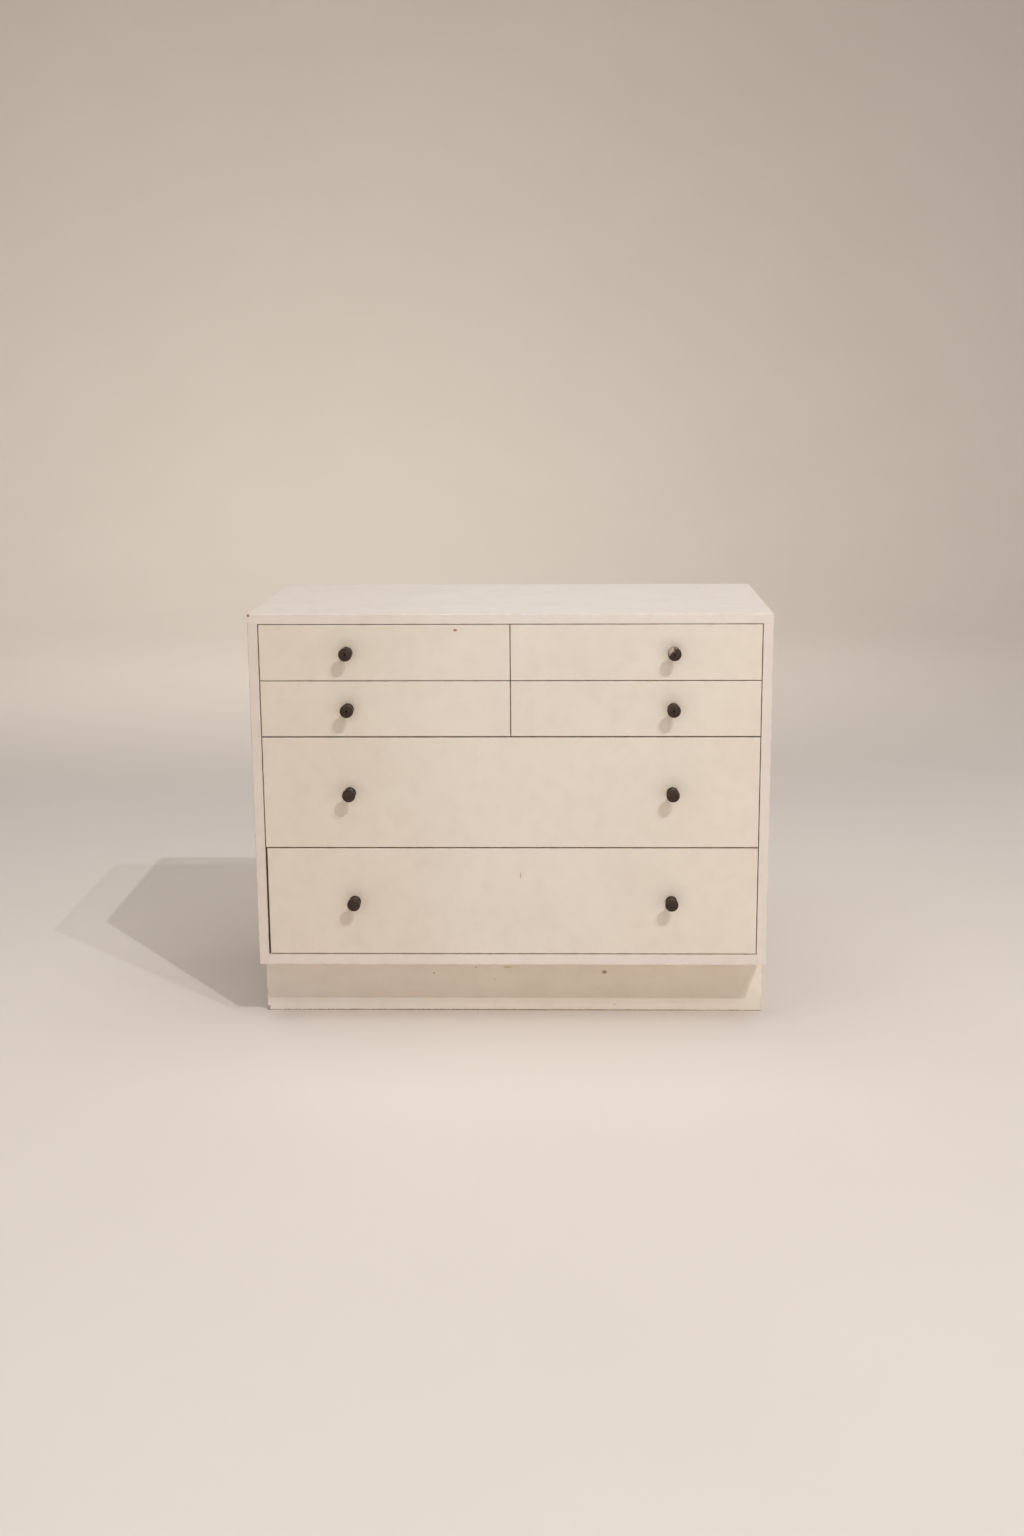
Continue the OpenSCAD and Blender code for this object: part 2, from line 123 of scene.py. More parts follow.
class Recipe:
    """The node tree of one material while it is put together."""

    def __init__(self, name: str) -> None:
        """Starts an empty material.

        Args:
            name: The material's name.
        """
        self.material = bpy.data.materials.new(name)
        self.material.use_nodes = True
        self.tree = self.material.node_tree
        self.tree.nodes.clear()
        self.place = self.add("ShaderNodeTexCoord").outputs["Object"]

    def add(self, kind: str, links: dict | None = None, **settings: object) -> bpy.types.Node:
        """Adds a node.

        Args:
            kind: The node's type.
            links: For each input, by name or number, a value or the output that feeds it.
            **settings: The node's own properties.

        Returns:
            The new node.
        """
        node = self.tree.nodes.new(kind)
        for key, value in settings.items():
            setattr(node, key, value)
        for key, value in (links or {}).items():
            if isinstance(value, Socket):
                self.tree.links.new(value, node.inputs[key])
            else:
                node.inputs[key].default_value = value
        return node

    def layer(self, factor: object, under: object, over: object, how: str = "MIX") -> Socket:
        """Lays one colour over another.

        Args:
            factor: How much of the upper colour shows, as a number or a socket.
            under: The lower colour.
            over: The upper colour.
            how: The way that the two combine.

        Returns:
            The resulting colour.
        """
        ends = {0: factor, 6: under, 7: over}
        node = self.add("ShaderNodeMix", ends, data_type="RGBA", blend_type=how)
        return node.outputs[2]

    def between(self, value: object, low: float, high: float) -> Socket:
        """Turns a value to a smooth step.

        Args:
            value: The socket to read.
            low: Where the step starts at zero; it may be above high for a falling step.
            high: Where it ends at one.

        Returns:
            The step, from zero to one.
        """
        first, last = (low, high) if low < high else (high, low)
        ends = (0.0, 1.0) if low < high else (1.0, 0.0)
        node = self.add(
            "ShaderNodeMapRange",
            {
                "Value": value,
                "From Min": first,
                "From Max": last,
                "To Min": ends[0],
                "To Max": ends[1],
            },
            interpolation_type="SMOOTHSTEP",
        )
        return node.outputs[0]

    def maths(self, how: str, first: object, second: object) -> Socket:
        """Combines two numbers.

        Args:
            how: The operation, such as MULTIPLY.
            first: A number or a socket.
            second: A number or a socket.

        Returns:
            The result.
        """
        return self.add("ShaderNodeMath", {0: first, 1: second}, operation=how).outputs[0]

    def grain(self, size: float, detail: float = 2.0, where: object = None) -> Socket:
        """Draws soft patches.

        Args:
            size: The size of a patch in millimetres.
            detail: How many finer layers it has.
            where: The coordinates to use, if not the object's own.

        Returns:
            A number about one half.
        """
        links = {"Vector": where or self.place, "Scale": 1 / (size * MM), "Detail": detail}
        return self.add("ShaderNodeTexNoise", links).outputs[0]

    def finish(
        self, colour: object, roughness: object, bump: object, height: float, **sockets: object
    ) -> None:
        """Closes the tree with its shader.

        Args:
            colour: The base colour.
            roughness: A number or a socket.
            bump: The height of the surface, from zero to one.
            height: What one step of that height measures, in millimetres.
            **sockets: Further inputs of the shader, with underscores for spaces.
        """
        relief = {"Height": bump, "Distance": height * MM, "Strength": 1.0}
        normal = self.add("ShaderNodeBump", relief)
        links = {"Base Color": colour, "Roughness": roughness, "Normal": normal.outputs[0]}
        links.update({key.replace("_", " "): value for key, value in sockets.items()})
        shader = self.add("ShaderNodeBsdfPrincipled", links)
        self.add("ShaderNodeOutputMaterial", {"Surface": shader.outputs[0]})


@dataclass(frozen=True)
class Mark:
    """A chip, stain or scratch at one place on the paint."""

    x: float
    z: float
    width: float
    height: float
    colour: str
    strength: float = 0.8
    ragged: float = 1.0


@dataclass(frozen=True)
class BareFace:
    """The side of a painted board that was left unpainted: beyond a plane, and behind a reveal."""

    axis: Axis
    at: float
    way: int
    reveal: float


@dataclass(frozen=True)
class BareWood:
    """Planed wood without a finish: a soft, dry sheen and a fine streak along the grain."""

    name: str
    pale: str
    dark: str
    streak: float
    roughness: float = 0.62

    def colour(self, recipe: Recipe, along: Axis) -> tuple[Socket, Socket]:
        """Draws the grain.

        Args:
            recipe: The material to draw in.
            along: The axis that the grain follows.

        Returns:
            The colour, and the streaks that it comes from.
        """
        stretch = [1.0, 1.0, 1.0]
        stretch[along.value] = 0.045  # fibres run about twenty times as long as they are wide
        run = recipe.add("ShaderNodeMapping", {"Vector": recipe.place, "Scale": stretch}).outputs[0]
        rings = recipe.grain(self.streak * 9, 3.0, run)
        fibre = recipe.grain(self.streak, 4.0, run)
        coarse, fine = recipe.maths("MULTIPLY", rings, 0.65), recipe.maths("MULTIPLY", fibre, 0.35)
        both = recipe.maths("ADD", coarse, fine)
        shade = recipe.between(both, 0.36, 0.64)
        return recipe.layer(shade, linear(self.pale), linear(self.dark)), fibre

    def material(self, along: Axis) -> bpy.types.Material:
        """Makes the material for boards whose grain follows an axis.

        Args:
            along: The way that the grain runs.

        Returns:
            The material.
        """
        recipe = Recipe(f"{self.name}_{along.name.lower()}")
        colour, fibre = self.colour(recipe, along)
        dirt = recipe.between(recipe.grain(60, 3.0), 0.5, 0.8)
        dirt = recipe.maths("MULTIPLY", dirt, 0.25)
        colour = recipe.layer(dirt, colour, linear(self.dark), "MULTIPLY")
        recipe.finish(colour, self.roughness, fibre, 0.15)
        return recipe.material


@dataclass(frozen=True)
class Plywood(BareWood):
    """Thin birch plywood: a quiet face, and edges that show the plies as lines."""

    ply: float = 1.2

    def panel(self, along: Axis, thin: Axis) -> bpy.types.Material:
        """Makes the material for a panel.

        Args:
            along: The axis that the face grain follows.
            thin: The axis across the panel's thickness.

        Returns:
            The material.
        """
        recipe = Recipe(f"{self.name}_{thin.name.lower()}")
        colour, fibre = self.colour(recipe, along)
        normal = recipe.add("ShaderNodeNewGeometry").outputs["Normal"]
        facing = recipe.add("ShaderNodeSeparateXYZ", {0: normal}).outputs[thin.value]
        edge = recipe.between(recipe.maths("ABSOLUTE", facing, 0.0), 0.6, 0.4)
        depth = recipe.add("ShaderNodeSeparateXYZ", {0: recipe.place}).outputs[thin.value]
        plies = recipe.maths("PINGPONG", recipe.maths("MULTIPLY", depth, 1 / (self.ply * MM)), 1.0)
        lines = recipe.maths("MULTIPLY", recipe.between(plies, 0.4, 0.6), edge)
        colour = recipe.layer(lines, colour, linear(self.dark), "MULTIPLY")
        recipe.finish(colour, self.roughness, fibre, 0.1)
        return recipe.material


@dataclass(frozen=True)
class Enamel:
    """Brushed household enamel on wood: a satin film, unevenly yellowed and worn at its edges."""

    name: str
    left: str
    middle: str
    right: str
    grime: str = "#b3a288"
    roughness: float = 0.42
    brush: Axis = Axis.ACROSS
    edge_dirt: float = 0.22

    def material(
        self,
        name: str,
        box: Box,
        wood: BareWood,
        bare: BareFace | None = None,
        marks: tuple[Mark, ...] = (),
        halos: tuple[Vector, ...] = (),
    ) -> bpy.types.Material:
        """Makes the paint of one board.

        Args:
            name: The board's name.
            box: The board's place, which its worn edges follow.
            wood: What shows where there is no paint.
            bare: The side that was left unpainted.
            marks: Chips and stains.
            halos: The places of knobs, round which fingers left grime.

        Returns:
            The material.
        """
        recipe = Recipe(f"{self.name}_{name}")
        x, y, z = recipe.add("ShaderNodeSeparateXYZ", {0: recipe.place}).outputs
        # Sun and smoke yellow a film unevenly: slow drifts, and hand-wide patches.
        tone = recipe.layer(recipe.between(x, -0.42, 0.02), linear(self.left), linear(self.middle))
        tone = recipe.layer(recipe.between(x, 0.02, 0.44), tone, linear(self.right))
        patch = recipe.between(recipe.grain(130, 3.0), 0.35, 0.75)
        faint = recipe.maths("MULTIPLY", patch, 0.06)
        tone = recipe.layer(faint, tone, linear(self.grime), "MULTIPLY")
        cloud = recipe.between(recipe.grain(28, 4.0), 0.40, 0.70)
        faint = recipe.maths("MULTIPLY", cloud, 0.05)
        tone = recipe.layer(faint, tone, linear(self.grime), "MULTIPLY")
        tone = self._specks(recipe, tone)
        tone = self._halos(recipe, tone, x, z, halos)
        tone = self._edges(recipe, tone, box)
        on_front = recipe.between(y, box.low.y + 4 * MM, box.low.y + 2 * MM)
        for mark in marks:
            tone = self._mark(recipe, tone, x, z, mark, on_front)
        if bare:
            timber, _ = wood.colour(recipe, self.brush)
            tone = recipe.layer(self._unpainted(recipe, (x, y, z), bare, box), tone, timber)
        rough = recipe.add(
            "ShaderNodeMapRange",
            {"Value": patch, "To Min": self.roughness - 0.05, "To Max": self.roughness + 0.08},
        ).outputs[0]
        recipe.finish(tone, rough, self._film(recipe), 0.10)
        return recipe.material

    def _film(self, recipe: Recipe) -> Socket:
        """Draws the film's relief: brush lines 1.5 mm apart over a faint orange peel.

        Args:
            recipe: What to add to.

        Returns:
            The relief.
        """
        stretch = [1.0, 1.0, 1.0]
        stretch[self.brush.value] = 0.03
        run = recipe.add("ShaderNodeMapping", {"Vector": recipe.place, "Scale": stretch}).outputs[0]
        lines = recipe.maths("MULTIPLY", recipe.grain(1.5, 2.0, run), 0.4)
        return recipe.maths("ADD", lines, recipe.maths("MULTIPLY", recipe.grain(4, 2.0), 0.6))

    def _specks(self, recipe: Recipe, tone: Socket) -> Socket:
        """Strews dust specks of about a millimetre, a few fingers apart.

        Args:
            recipe: What to add to.
            tone: The film's colour so far.

        Returns:
            The colour with the specks in it.
        """
        apart = 34 * MM
        cells = recipe.add("ShaderNodeTexVoronoi", {"Vector": recipe.place, "Scale": 1 / apart})
        dot = recipe.between(cells.outputs["Distance"], 0.035, 0.012)
        lot = recipe.add("ShaderNodeSeparateColor", {0: cells.outputs["Color"]}).outputs[0]
        few = recipe.maths("MULTIPLY", dot, recipe.between(lot, 0.62, 0.7))
        return recipe.layer(recipe.maths("MULTIPLY", few, 0.45), tone, linear(self.grime))

    def _halos(
        self, recipe: Recipe, tone: Socket, x: object, z: object, halos: tuple[Vector, ...]
    ) -> Socket:
        """Rubs grime in round each knob, where fingers reach the front.

        Args:
            recipe: What to add to.
            tone: The film's colour so far.
            x: The point's place across.
            z: Its height.
            halos: The middles of the knobs' feet.

        Returns:
            The colour with the grime on it.
        """
        for spot in halos:
            away = self._distance(recipe, x, z, spot.x, spot.z, 1.0, 1.0)
            near = recipe.between(away, 34 * MM, 9 * MM)
            smear = recipe.maths("MULTIPLY", near, recipe.grain(9, 3.0))
            smear = recipe.maths("MULTIPLY", smear, 0.2)
            tone = recipe.layer(smear, tone, linear(self.grime), "MULTIPLY")
        return tone

    def _distance(
        self,
        recipe: Recipe,
        x: object,
        z: object,
        at_x: float,
        at_z: float,
        wide: float,
        high: float,
    ) -> Socket:
        """Measures how far a point of the face is from a place.

        Args:
            recipe: The material to draw in.
            x: The point's place across.
            z: The point's height.
            at_x: The place across.
            at_z: The place's height.
            wide: What counts as one across.
            high: What counts as one upwards.

        Returns:
            The distance.
        """
        dx = recipe.maths("DIVIDE", recipe.maths("SUBTRACT", x, at_x), wide)
        dz = recipe.maths("DIVIDE", recipe.maths("SUBTRACT", z, at_z), high)
        flat = recipe.add("ShaderNodeCombineXYZ", {0: dx, 1: dz}).outputs[0]
        return recipe.add("ShaderNodeVectorMath", {0: flat}, operation="LENGTH").outputs["Value"]

    def _edges(self, recipe: Recipe, tone: Socket, box: Box) -> Socket:
        """Dirties the film along the board's outer edges, over a width of 2.6 mm.

        Args:
            recipe: What to add to.
            tone: The film's colour so far.
            box: The board's bounds.

        Returns:
            The colour with the dirt on it.
        """
        kind = "ShaderNodeVectorMath"
        offset = recipe.add(kind, {0: recipe.place, 1: box.centre}, operation="SUBTRACT")
        apart = recipe.add(kind, {0: offset.outputs[0]}, operation="ABSOLUTE")
        inside = recipe.add(kind, {0: box.size / 2, 1: apart.outputs[0]}, operation="SUBTRACT")
        x, y, z = recipe.add("ShaderNodeSeparateXYZ", {0: inside.outputs[0]}).outputs
        # On a face one of the three is nothing, and the middle one leads to the nearest edge.
        lower, upper = recipe.maths("MINIMUM", x, y), recipe.maths("MAXIMUM", x, y)
        middle = recipe.maths("MAXIMUM", lower, recipe.maths("MINIMUM", upper, z))
        near = recipe.between(middle, 2.6 * MM, 0.2 * MM)
        rubbed = recipe.between(recipe.grain(16, 5.0), 0.42, 0.62)
        amount = recipe.maths("MULTIPLY", recipe.maths("MULTIPLY", near, rubbed), self.edge_dirt)
        return recipe.layer(amount, tone, linear(self.grime), "MULTIPLY")

    def _mark(
        self,
        recipe: Recipe,
        tone: Socket,
        x: object,
        z: object,
        mark: Mark,
        on_front: object,
    ) -> Socket:
        """Lays one chip or stain over the paint of the front face, with a ragged rim.

        Args:
            recipe: What to add to.
            tone: The film's colour so far.
            x: The point's place across.
            z: Its height.
            mark: The chip or stain.
            on_front: One on the front face, nothing elsewhere.

        Returns:
            The colour with the mark on it.
        """
        wide, high = mark.width * MM / 2, mark.height * MM / 2
        away = self._distance(recipe, x, z, mark.x, mark.z, wide, high)
        size = max(1.5, min(mark.width, mark.height) / 2)
        torn = recipe.maths("SUBTRACT", recipe.grain(size, 3.0), 0.5)
        torn = recipe.maths("MULTIPLY", torn, 1.6 * mark.ragged)
        shape = recipe.between(recipe.maths("ADD", away, torn), 1.15, 0.75)
        shape = recipe.maths("MULTIPLY", shape, on_front)
        shape = recipe.maths("MULTIPLY", shape, mark.strength)
        return recipe.layer(shape, tone, linear(mark.colour))

    def _unpainted(
        self, recipe: Recipe, place: tuple[object, ...], bare: BareFace, box: Box
    ) -> Socket:
        """Finds where the brush stopped: beyond the bare plane, and behind a ragged reveal.

        Args:
            recipe: What to add to.
            place: The point's three coordinates.
            bare: The plane beyond which nothing is painted.
            box: The board's bounds.

        Returns:
            One where the wood is bare.
        """
        beyond = recipe.maths("SUBTRACT", place[bare.axis.value], bare.at)
        beyond = recipe.maths("MULTIPLY", beyond, float(bare.way))
        inside = recipe.between(beyond, -0.4 * MM, 0.0)
        back = recipe.maths("SUBTRACT", place[Axis.DEEP.value], box.low.y + bare.reveal)
        wavy = recipe.maths("ADD", back, recipe.maths("MULTIPLY", recipe.grain(14, 3.0), 5 * MM))
        return recipe.maths("MULTIPLY", inside, recipe.between(wavy, 1.5 * MM, 3.5 * MM))


@dataclass(frozen=True)
class Patina:
    """Brass gone dark brown: a dull oxide film, rubbed to warmer metal where fingers hold it, and
    lighter on its upper half as a painted highlight of the light from above.
    """

    name: str = "patinated_brass"
    oxide: str = "#2a2017"
    warm: str = "#493223"
    # The rubbed colour stands for worn brass, and on the upper half also for a painted highlight.
    rubbed: str = "#8d7a58"
    pale_flecks: str = "#cdb9a8"

    def material(self, knob: str, centre: Vector, pale_flecks: float) -> bpy.types.Material:
        """Makes the metal of one knob.

        Args:
            knob: The knob's name.
            centre: The middle of its head.
            pale_flecks: How strong the pale pinkish flecks on the upper left of the head are.

        Returns:
            The material.
        """
        recipe = Recipe(f"{self.name}_{knob}")
        local = recipe.add("ShaderNodeMapping", {"Vector": recipe.place, "Location": -centre})
        x, _, z = recipe.add("ShaderNodeSeparateXYZ", {0: local.outputs[0]}).outputs
        cloud = recipe.between(recipe.grain(5, 4.0), 0.38, 0.66)
        thin = recipe.maths("MULTIPLY", cloud, 0.7)
        tone = recipe.layer(thin, linear(self.oxide), linear(self.warm))
        # The rubbed colour is kept to the head's upper half: worn metal there, and also a painted
        # highlight where light from above falls.
        upper = recipe.between(z, -2 * MM, 11 * MM)
        scratch = recipe.between(recipe.grain(1.6, 5.0), 0.52, 0.70)
        wear_and_highlight = recipe.maths("MULTIPLY", upper, scratch)
        tone = recipe.layer(recipe.maths("MULTIPLY", wear_and_highlight, 0.5), tone, linear(self.rubbed))
        # Pale pinkish flecks on the upper left of the head.
        if pale_flecks:
            corner = recipe.maths("SUBTRACT", recipe.maths("SUBTRACT", z, x), 5 * MM)
            left = recipe.between(corner, 0.0, 7 * MM)
            flake = recipe.between(recipe.grain(3.5, 4.0), 0.40, 0.50)
            paint = recipe.maths("MULTIPLY", recipe.maths("MULTIPLY", left, flake), pale_flecks)
            tone = recipe.layer(paint, tone, linear(self.pale_flecks))
        rough = recipe.add("ShaderNodeMapRange", {"Value": cloud, "To Min": 0.36, "To Max": 0.55})
        recipe.finish(tone, rough.outputs[0], recipe.grain(2.5, 4.0), 0.12, Metallic=0.35)
        return recipe.material


@dataclass(frozen=True)
class ZincSteel:
    """Zinc-plated screws: a grey, slightly dull metal with a fine turned sheen."""

    name: str = "zinc_plated_steel"
    colour: str = "#a9a59b"
    tarnish: str = "#7b7261"

    def material(self) -> bpy.types.Material:
        """Makes the metal.

        Returns:
            The material.
        """
        recipe = Recipe(self.name)
        cloud = recipe.between(recipe.grain(3, 3.0), 0.4, 0.7)
        tone = recipe.layer(cloud, linear(self.colour), linear(self.tarnish))
        recipe.finish(tone, 0.38, recipe.grain(0.8, 2.0), 0.03, Metallic=1.0)
        return recipe.material


# Softwood off the plane: warm yellow with darker bands a finger wide.
PINE = BareWood("planed_pine", "#d9b987", "#b98d56", 1.4)
# Sanded hardwood: paler and quieter, with a finer streak.
BIRCH = BareWood("sanded_birch", "#e2cba4", "#cdae80", 0.9)
# Rotary-cut veneer, whose broad grain is bolder than that of a board.
BIRCH_PLY = Plywood("birch_plywood", "#dcc39a", "#b8935f", 1.0)
# Brushed enamel: satin, rosy on the case, creamier on the fronts and more worn on the plinth.
CASE_PAINT = Enamel("rosy_off_white_enamel", "#e1d5ca", "#e6ddd3", "#e7dcd2")
UPRIGHT_PAINT = Enamel(
    "rosy_off_white_enamel_upright", "#ded1c5", "#e6ddd3", "#e7dcd2", brush=Axis.UP
)
FRONT_PAINT = Enamel("yellowed_cream_enamel", "#dfd3c2", "#e6dcce", "#e8ddcd")
PLINTH_PAINT = Enamel("scuffed_cream_enamel", "#ebe2d6", "#f0e6d5", "#f0e6d5", edge_dirt=0.5)
KNOB_METAL = Patina()
SCREW_METAL = ZincSteel()


def dress(node: str, material: bpy.types.Material) -> None:
    """Gives a CAD node its finish.

    Args:
        node: The node's name.
        material: The finish.
    """
    for place in NODES[node].material_slots:
        place.material = material
    LOG.info("%s is finished in %s", node, material.name)


@dataclass
class Knob:
    """A turned knob: a foot against the drawer, a hollow waist and a head with a shallow dome."""

    name: str
    foot: Vector
    length: float
    head: float
    foot_share: float = 21 / 23.5
    waist_share: float = 10.5 / 23.5
    rim: float = 4 * MM
    dome: float = 1.2 * MM
    sides: int = 48
    outline: list[tuple[float, float]] = field(default_factory=list)

    def __post_init__(self) -> None:
        """Works out the outline as pairs of radius and distance from the drawer."""
        head = self.head / 2
        foot, waist = head * self.foot_share, head * self.waist_share
        head_at = self.length - self.dome - self.rim
        foot_at, waist_at = 1.5 * MM, 0.42 * head_at
        turns = [math.radians(a) for a in range(10, 91, 10)]
        points = [(foot - 0.4 * MM, 0.0), (foot, 0.5 * MM), (foot, foot_at)]
        points += [
            (foot + (waist - foot) * math.sin(a), waist_at + (foot_at - waist_at) * math.cos(a))
            for a in turns
        ]
        points += [
            (head + (waist - head) * math.sin(a), waist_at + (head_at - waist_at) * math.cos(a))
            for a in reversed(turns[:-1])
        ]
        points += [(head, head_at), (head, head_at + 0.5 * self.rim)]
        points += [(head - 0.15 * MM, head_at + 0.8 * self.rim)]
        points += [(head - 0.7 * MM, head_at + self.rim + 0.25 * self.dome)]
        for share in (0.85, 0.65, 0.4, 0.15):
            points.append((head * share, self.length - self.dome * (share**2) * 0.8))
        self.outline = points

    def build(self) -> bpy.types.Object:
        """Turns the outline: a disc is extruded ring by ring towards the user.

        Returns:
            The knob, with its place in its mesh.
        """
        bpy.ops.object.select_all(action="DESELECT")
        first = self.outline[0][0]
        bpy.ops.mesh.primitive_circle_add(
            vertices=self.sides, radius=first, fill_type="NGON", location=(0, 0, 0)
        )
        knob = bpy.context.object
        knob.name = self.name
        bpy.ops.object.mode_set(mode="EDIT")
        bpy.ops.mesh.select_mode(type="FACE")
        bpy.ops.mesh.select_all(action="SELECT")
        for (was, low), (now, high) in zip(self.outline, self.outline[1:]):
            bpy.ops.mesh.extrude_region_move(TRANSFORM_OT_translate={"value": (0, 0, high - low)})
            share = now / was
            bpy.ops.transform.resize(value=(share, share, 1), center_override=(0, 0, high))
        bpy.ops.mesh.poke()
        bpy.ops.mesh.select_all(action="SELECT")
        bpy.ops.mesh.normals_make_consistent(inside=False)
        bpy.ops.object.mode_set(mode="OBJECT")
        forward = Matrix.Rotation(math.radians(90), 4, "X")
        knob.data.transform(Matrix.Translation(self.foot) @ forward)
        bpy.ops.object.shade_smooth_by_angle(angle=math.radians(50))
        return knob


@dataclass
class Case:
    """The carcase: painted boards outside, and bare web frames that the drawers run on inside."""

    reveal: float = 22 * MM
    top_thickness: float = 17 * MM
    webs: tuple[str, ...] = ("upper", "middle", "lower")

    def build(self) -> None:
        """Dresses every board of the carcase."""
        top, left, right = (Box.of(node) for node in ("top_panel", "left_side", "right_side"))
        floor = Box.of("bottom_panel")
        inner = min(-Box.of("third_drawer_front").low.x, Box.of("third_drawer_front").high.x)
        corner = Mark(left.low.x + 2 * MM, top.high.z - 2 * MM, 6, 6, "#7c4a33", 0.85)
        # The board's tongues reach below its lower face, so the box's low end isn't that face.
        below = BareFace(Axis.UP, top.high.z - self.top_thickness, -1, self.reveal)
        dress("top_panel", CASE_PAINT.material("top", top, BIRCH, below, (corner,)))
        for node, box, way in (("left_side", left, 1), ("right_side", right, -1)):
            face = BareFace(Axis.ACROSS, -way * (inner + 2 * MM), way, self.reveal)
            dress(node, UPRIGHT_PAINT.material(node, box, BIRCH, face))
        above = BareFace(Axis.UP, floor.high.z, 1, self.reveal)
        dress("bottom_panel", CASE_PAINT.material("bottom", floor, BIRCH, above))
        dress("back_panel", BIRCH_PLY.panel(Axis.UP, Axis.DEEP))
        rails, runners, uprights = (PINE.material(axis) for axis in Axis)
        for web in self.webs:
            dress(f"{web}_front_rail", rails)
            dress(f"{web}_rear_rail", rails)
            dress(f"{web}_runners", runners)
        for row in ("upper", "lower"):
            dress(f"{row}_partition", uprights)


@dataclass
class Plinth:
    """The recessed base: four boards and the blocks in their corners."""

    def build(self) -> None:
        """Dresses the boards."""
        front = Box.of("plinth_front")
        left = front.low.x
        stain = "#a3824f"
        marks = (
            Mark(-0.147, 0.072, 6, 5, stain, 0.45),
            Mark(-0.069, 0.083, 7, 4, stain, 0.4),
            Mark(-0.012, 0.0835, 16, 4, stain, 0.4),
            Mark(-0.034, 0.060, 5, 4, stain, 0.25),
            Mark(0.1675, 0.074, 9, 8, "#7d5a2c", 0.7),
            Mark(0.186, 0.012, 6, 4, stain, 0.35),
            Mark(0.0, 0.0, 1000, 4.5, "#7a5a3c", 0.75, 1.5),  # a ragged dark band along the bottom edge of the front
            Mark(left, 0.004, 14, 12, "#6d4a30", 0.6),
        )
        dress("plinth_front", PLINTH_PAINT.material("front", front, PINE, None, marks))
        for node in ("plinth_left", "plinth_right", "plinth_rear"):
            dress(node, PLINTH_PAINT.material(node, Box.of(node), PINE))
        dress("plinth_blocks", PINE.material(Axis.UP))


@dataclass
class Drawer:
    """One drawer: a painted front with its knobs, and a bare dovetailed box behind it."""

    name: str
    marks: tuple[Mark, ...] = ()
    pale_flecks: float = 0.0

    def build(self, finishes: dict[str, bpy.types.Material]) -> None:
        """Dresses the drawer and turns its knobs.

        Args:
            finishes: The shared materials of the box's boards.
        """
        front = Box.of(f"{self.name}_drawer_front")
        feet = self._knob_feet(front)
        bare = BareFace(Axis.DEEP, front.low.y + 6 * MM, 1, 6 * MM)
        paint = FRONT_PAINT.material(self.name, front, BIRCH, bare, self.marks, feet)
        dress(f"{self.name}_drawer_front", paint)
        for part in ("left_side", "right_side", "back", "bottom"):
            dress(f"{self.name}_drawer_{part}", finishes[part])
        if f"{self.name}_drawer_muntin" in NODES:
            dress(f"{self.name}_drawer_muntin", finishes["muntin"])
        self._knobs(front, feet)

    def _knob_feet(self, front: Box) -> tuple[Vector, ...]:
        """Finds where the knobs stand on the front.

        Args:
            front: The front's place.

        Returns:
            The middle of each knob's foot.
        """
        knobs = Box.of(f"{self.name}_drawer_knobs")
        radius = knobs.size.z / 2
        height = knobs.centre.z
        ends = {round(knobs.low.x + radius, 5), round(knobs.high.x - radius, 5)}
        return tuple(Vector((x, front.low.y, height)) for x in sorted(ends))

    def _knobs(self, front: Box, feet: tuple[Vector, ...]) -> None:
        """Puts a turned knob in place of each plain one.

        Args:
            front: The front's place.
            feet: The middle of each knob's foot.
        """
        plain = Box.of(f"{self.name}_drawer_knobs")
        for number, foot in enumerate(feet):
            name = f"{self.name}_knob_{number + 1}"
            knob = Knob(name, foot, front.low.y - plain.low.y, plain.size.z).build()
            middle = foot + Vector((0, plain.low.y - front.low.y, 0))
            knob.data.materials.append(KNOB_METAL.material(name, middle, self.pale_flecks))
            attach(knob, f"{self.name}_drawer")
            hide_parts(f"{self.name}_drawer_knobs")
            LOG.info("%s stands on %s", name, self.name)


@dataclass(frozen=True)
class Lamp:
    """A small bare lamp high above the floor."""

    name: str
    place: tuple[float, float, float]
    watts: float
    size: float = 0.055
    colour: str = "#ffffff"

    def hang(self) -> None:
        """Hangs the lamp."""
        light = bpy.data.lights.new(self.name, "POINT")
        light.energy, light.color = self.watts, linear(self.colour)[:3]
        light.shadow_soft_size = self.size / 2
        lamp = bpy.data.objects.new(self.name, light)
        lamp.location = self.place
        bpy.context.scene.collection.objects.link(lamp)


@dataclass(frozen=True)
class Softbox:
    """A large cloth-fronted lamp that gives no edge to its shadows."""

    name: str
    place: tuple[float, float, float]
    aim: tuple[float, float, float]
    size: tuple[float, float]
    watts: float
    spread: float = 180
    colour: str = "#ffffff"

    def hang(self) -> None:
        """Hangs the box and aims it."""
        light = bpy.data.lights.new(self.name, "AREA")
        light.shape, light.energy, light.color = "RECTANGLE", self.watts, linear(self.colour)[:3]
        light.size, light.size_y = self.size
        light.spread = math.radians(self.spread)
        box = bpy.data.objects.new(self.name, light)
        box.location = self.place
        box.rotation_euler = (Vector(self.aim) - box.location).to_track_quat("-Z", "Y").to_euler()
        box.visible_camera = False
        bpy.context.scene.collection.objects.link(box)


